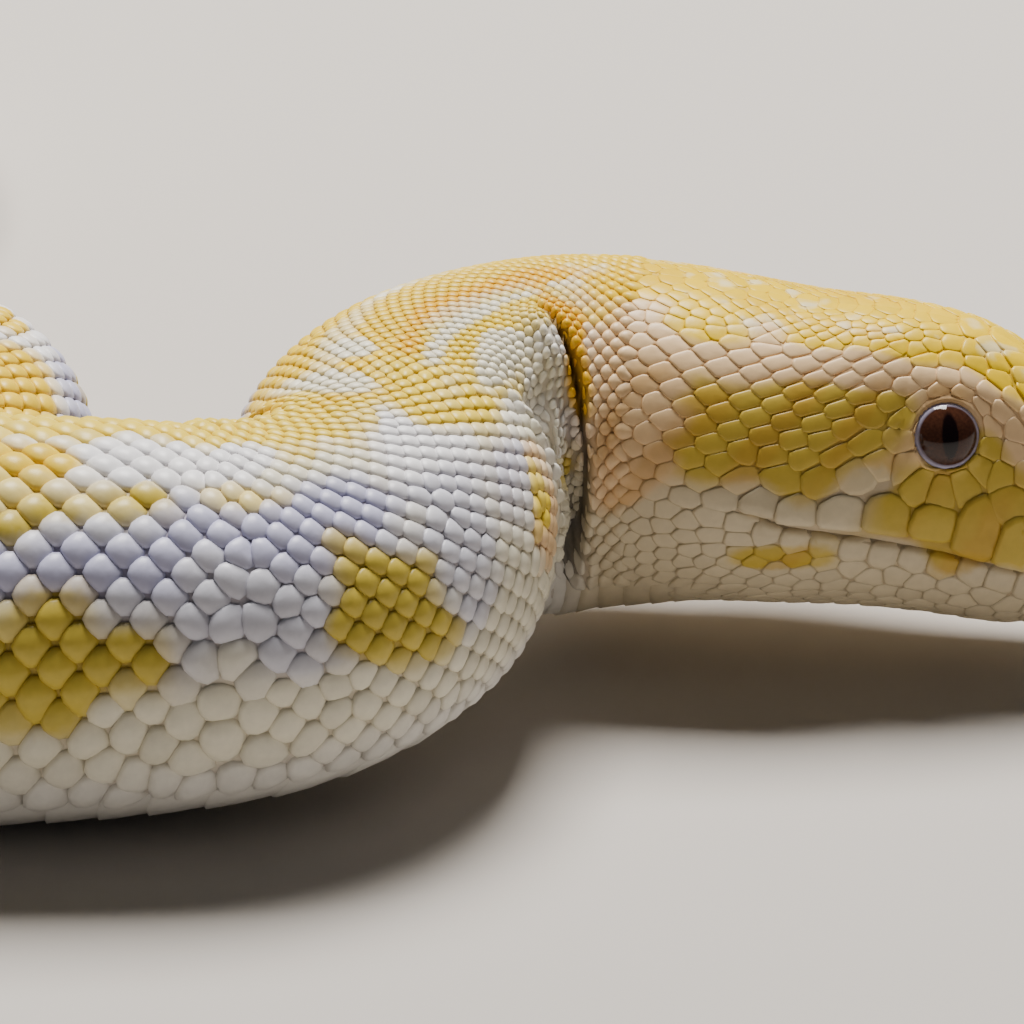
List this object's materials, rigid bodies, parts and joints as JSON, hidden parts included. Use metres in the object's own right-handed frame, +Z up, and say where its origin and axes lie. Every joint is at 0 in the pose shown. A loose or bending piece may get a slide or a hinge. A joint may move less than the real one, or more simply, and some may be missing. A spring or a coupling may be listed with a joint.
{
  "type": "coiled albino burmese python",
  "caption": "Life-size still model of an amber and white albino Burmese python lying in folded loops, its neck drawn back in an S and its head just off the ground.",
  "frame": {"origin": "on the floor, at the centre of the space that the whole snake takes up", "axes": "+X towards the snout, +Y from the fore body with the head towards the loops behind it, +Z up"},
  "size_m": [0.5487, 0.2963, 0.0576],
  "materials": {
    "scaled_skin": "dry satin scales, golden saddles and blotches edged with lavender on cream",
    "eye": "wet, dark red-brown with a slit pupil"
  },
  "bodies": {
    "root": {"head": "scaled_skin", "lower_jaw": "scaled_skin", "eye_left": "eye", "eye_right": "eye", "neck": "scaled_skin", "trunk_01": "scaled_skin", "trunk_02": "scaled_skin", "trunk_03": "scaled_skin", "trunk_04": "scaled_skin", "trunk_05": "scaled_skin", "trunk_06": "scaled_skin", "trunk_07": "scaled_skin", "trunk_08": "scaled_skin", "trunk_09": "scaled_skin", "trunk_10": "scaled_skin", "tail_base": "scaled_skin", "tail_tip": "scaled_skin"}
  },
  "joints": []
}
